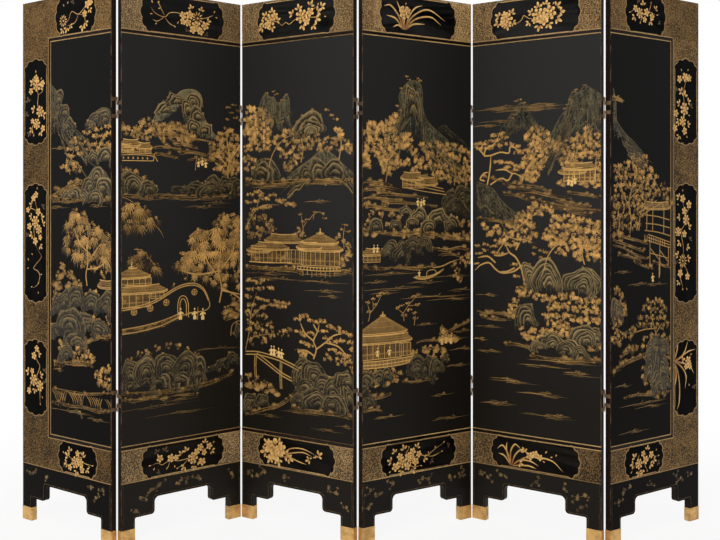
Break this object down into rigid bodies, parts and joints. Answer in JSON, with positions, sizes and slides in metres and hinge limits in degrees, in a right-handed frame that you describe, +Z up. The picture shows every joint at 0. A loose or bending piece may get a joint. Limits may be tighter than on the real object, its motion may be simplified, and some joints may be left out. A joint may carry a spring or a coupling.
{
  "type": "folding screen",
  "caption": "Tall black and gilt lacquer folding screen in a zigzag, with stepped aprons, brass foot sabots and drop-pin hinges.",
  "frame": {"origin": "floor level, at the centre of the screen's plan box in the zigzag pose of the picture", "axes": "+X along the screen from its left to its right as the picture side is seen, +Y away from the picture side, +Z up"},
  "size_m": [2.801, 0.3908, 2.134],
  "materials": {
    "picture_lacquer": "polished black lacquer with gilt decoration, worn",
    "plain_lacquer": "plain black lacquer",
    "lacquered_frame": "black lacquer on the edges, rubbed brown at the arrises",
    "core_wood": "bare softwood, hidden",
    "sabot_brass": "satin, lightly patinated",
    "hinge_brass": "dull, brown patina",
    "fixing_brass": "dull"
  },
  "bodies": {
    "leaf_3": {"leaf_3_stiles": "lacquered_frame", "leaf_3_rails": "lacquered_frame", "leaf_3_board": "core_wood", "leaf_3_apron": "lacquered_frame", "leaf_3_front_lacquer": "picture_lacquer", "leaf_3_back_lacquer": "plain_lacquer", "leaf_3_sabots": "sabot_brass", "leaf_3_hinge_eyes": "hinge_brass", "leaf_3_nails_and_screws": "fixing_brass", "seam_3_drop_pins": "hinge_brass"},
    "leaf_4": {"leaf_4_stiles": "lacquered_frame", "leaf_4_rails": "lacquered_frame", "leaf_4_board": "core_wood", "leaf_4_apron": "lacquered_frame", "leaf_4_front_lacquer": "picture_lacquer", "leaf_4_back_lacquer": "plain_lacquer", "leaf_4_sabots": "sabot_brass", "leaf_4_hinge_eyes": "hinge_brass", "leaf_4_nails_and_screws": "fixing_brass", "seam_4_drop_pins": "hinge_brass"},
    "leaf_5": {"leaf_5_stiles": "lacquered_frame", "leaf_5_rails": "lacquered_frame", "leaf_5_board": "core_wood", "leaf_5_apron": "lacquered_frame", "leaf_5_front_lacquer": "picture_lacquer", "leaf_5_back_lacquer": "plain_lacquer", "leaf_5_sabots": "sabot_brass", "leaf_5_hinge_eyes": "hinge_brass", "leaf_5_nails_and_screws": "fixing_brass", "seam_5_drop_pins": "hinge_brass"},
    "leaf_6": {"leaf_6_stiles": "lacquered_frame", "leaf_6_rails": "lacquered_frame", "leaf_6_board": "core_wood", "leaf_6_apron": "lacquered_frame", "leaf_6_front_lacquer": "picture_lacquer", "leaf_6_back_lacquer": "plain_lacquer", "leaf_6_sabots": "sabot_brass", "leaf_6_hinge_eyes": "hinge_brass", "leaf_6_nails_and_screws": "fixing_brass"},
    "leaf_2": {"leaf_2_stiles": "lacquered_frame", "leaf_2_rails": "lacquered_frame", "leaf_2_board": "core_wood", "leaf_2_apron": "lacquered_frame", "leaf_2_front_lacquer": "picture_lacquer", "leaf_2_back_lacquer": "plain_lacquer", "leaf_2_sabots": "sabot_brass", "leaf_2_hinge_eyes": "hinge_brass", "leaf_2_nails_and_screws": "fixing_brass", "seam_2_drop_pins": "hinge_brass"},
    "leaf_1": {"leaf_1_stiles": "lacquered_frame", "leaf_1_rails": "lacquered_frame", "leaf_1_board": "core_wood", "leaf_1_apron": "lacquered_frame", "leaf_1_front_lacquer": "picture_lacquer", "leaf_1_back_lacquer": "plain_lacquer", "leaf_1_sabots": "sabot_brass", "leaf_1_hinge_eyes": "hinge_brass", "leaf_1_nails_and_screws": "fixing_brass", "seam_1_drop_pins": "hinge_brass"}
  },
  "joints": [
    {"name": "seam_3", "type": "hinge", "parent": "leaf_3", "child": "leaf_4", "pos_m": [-0.01922, -0.13482, 0.55], "axis": [0, 0, -1], "range_deg": [-109.7, 70.3]},
    {"name": "seam_4", "type": "hinge", "parent": "leaf_4", "child": "leaf_5", "pos_m": [0.46445, 0.16169, 0.55], "axis": [0, 0, 1], "range_deg": [-107.4, 72.6]},
    {"name": "seam_5", "type": "hinge", "parent": "leaf_5", "child": "leaf_6", "pos_m": [0.9274, -0.16622, 0.55], "axis": [0, 0, -1], "range_deg": [-105.8, 74.2]},
    {"name": "seam_2", "type": "hinge", "parent": "leaf_3", "child": "leaf_2", "pos_m": [-0.49496, 0.17425, 0.55], "axis": [0, 0, -1], "range_deg": [-103.2, 76.8]},
    {"name": "seam_1", "type": "hinge", "parent": "leaf_2", "child": "leaf_1", "pos_m": [-0.94195, -0.17511, 0.55], "axis": [0, 0, 1], "range_deg": [-100.5, 79.5]}
  ]
}
